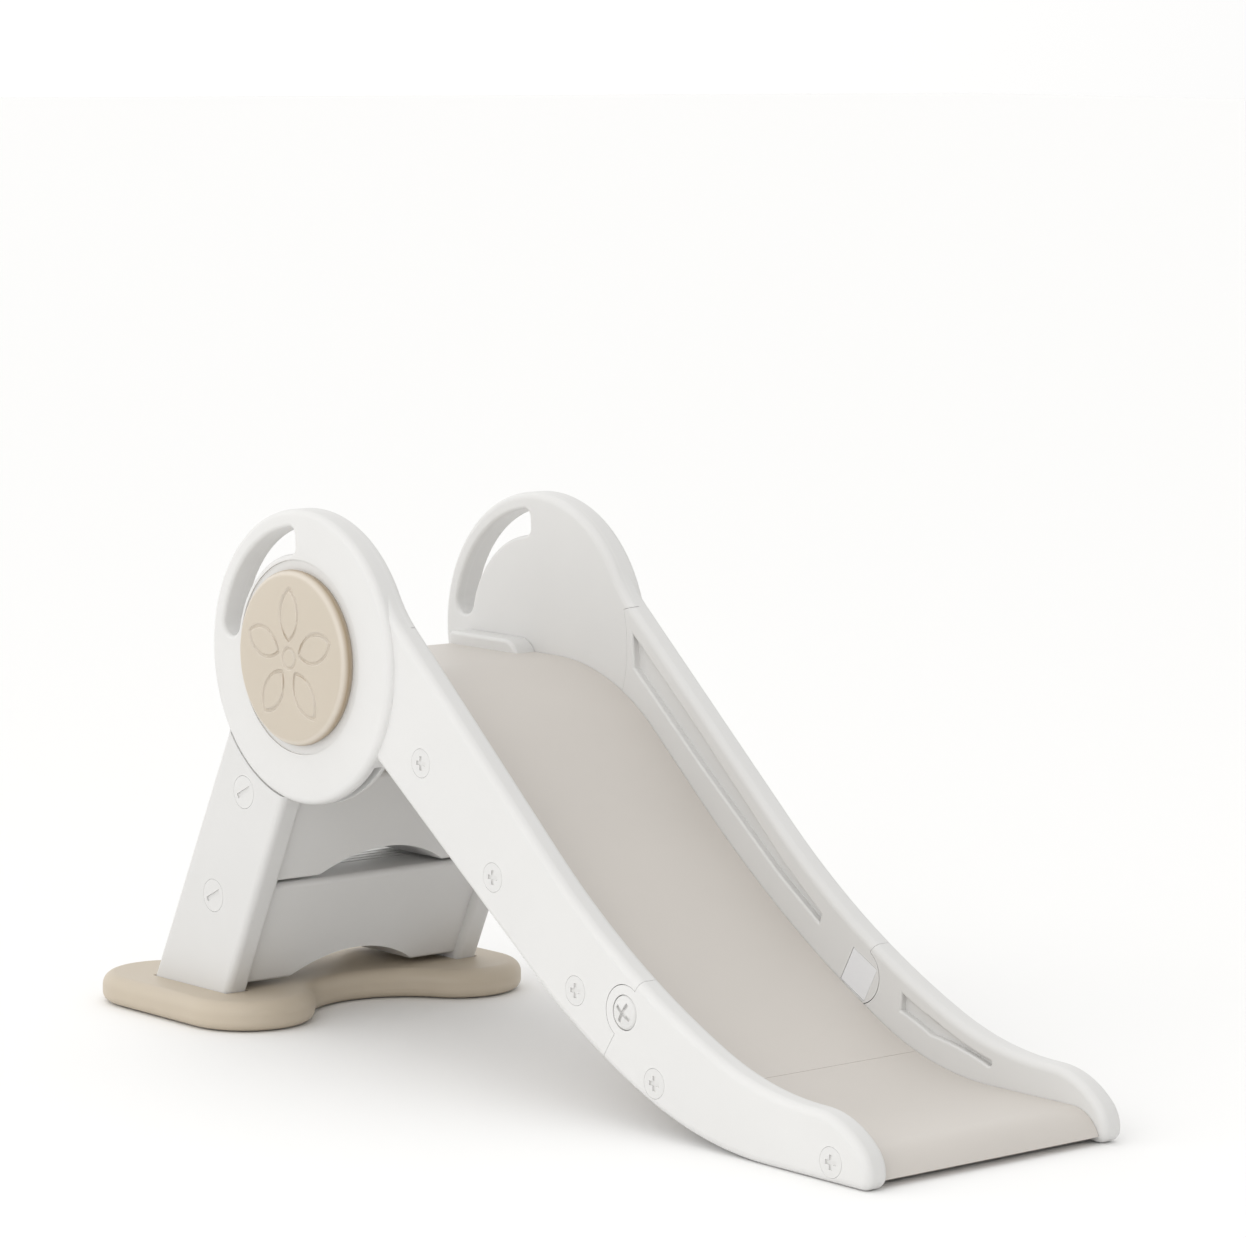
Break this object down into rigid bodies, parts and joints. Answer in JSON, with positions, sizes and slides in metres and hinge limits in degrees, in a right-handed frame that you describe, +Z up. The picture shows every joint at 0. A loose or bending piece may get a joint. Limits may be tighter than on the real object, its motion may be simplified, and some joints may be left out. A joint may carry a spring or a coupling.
{
  "type": "toddler slide",
  "caption": "Folding toddler slide: curved chute between two side panels with round heads and hand slots, and a hinged ladder on a broad rounded base.",
  "frame": {"origin": "middle of the footprint, on the floor the slide stands on", "axes": "+X from the ladder to the exit of the chute, +Y across the slide, +Z up"},
  "size_m": [1.317, 0.472, 0.6125],
  "materials": {
    "panel_plastic": "satin",
    "cap_plastic": "satin",
    "base_plastic": "satin",
    "bed_plastic": "satin",
    "leg_plastic": "satin",
    "fastener_plastic": "satin",
    "plate_plastic": "satin",
    "steel": "zinc plated",
    "bush_plastic": "satin",
    "pad_rubber": "matte"
  },
  "bodies": {
    "slide": {"upper_panel_left": "panel_plastic", "upper_panel_right": "panel_plastic", "lower_panel_left": "panel_plastic", "lower_panel_right": "panel_plastic", "head_cover_left": "panel_plastic", "head_cover_right": "panel_plastic", "medallion_cap_left": "cap_plastic", "medallion_cap_right": "cap_plastic", "pivot_pin_left": "steel", "pivot_pin_right": "steel", "pivot_washer_left": "steel", "pivot_washer_right": "steel", "pivot_nut_left": "steel", "pivot_nut_right": "steel", "rail_screws_left": "fastener_plastic", "rail_screws_right": "fastener_plastic", "joint_knob_left": "fastener_plastic", "joint_knob_right": "fastener_plastic", "joint_plate_left": "plate_plastic", "joint_plate_right": "plate_plastic", "platform_flange_left": "panel_plastic", "platform_flange_right": "panel_plastic", "upper_bed": "bed_plastic", "lower_bed": "bed_plastic"},
    "ladder": {"leg_left": "leg_plastic", "leg_right": "leg_plastic", "pivot_bush_left": "bush_plastic", "pivot_bush_right": "bush_plastic", "leg_covers_left": "fastener_plastic", "leg_covers_right": "fastener_plastic", "step_bolts_left": "steel", "step_bolts_right": "steel", "upper_step": "leg_plastic", "lower_step": "leg_plastic", "ladder_base": "base_plastic", "base_screws": "steel", "base_pads": "pad_rubber"}
  },
  "joints": [
    {"name": "ladder_fold", "type": "hinge", "parent": "slide", "child": "ladder", "pos_m": [-0.2785, 0, 0.4445], "axis": [0, -1, 0], "range_deg": [0, 54]}
  ]
}
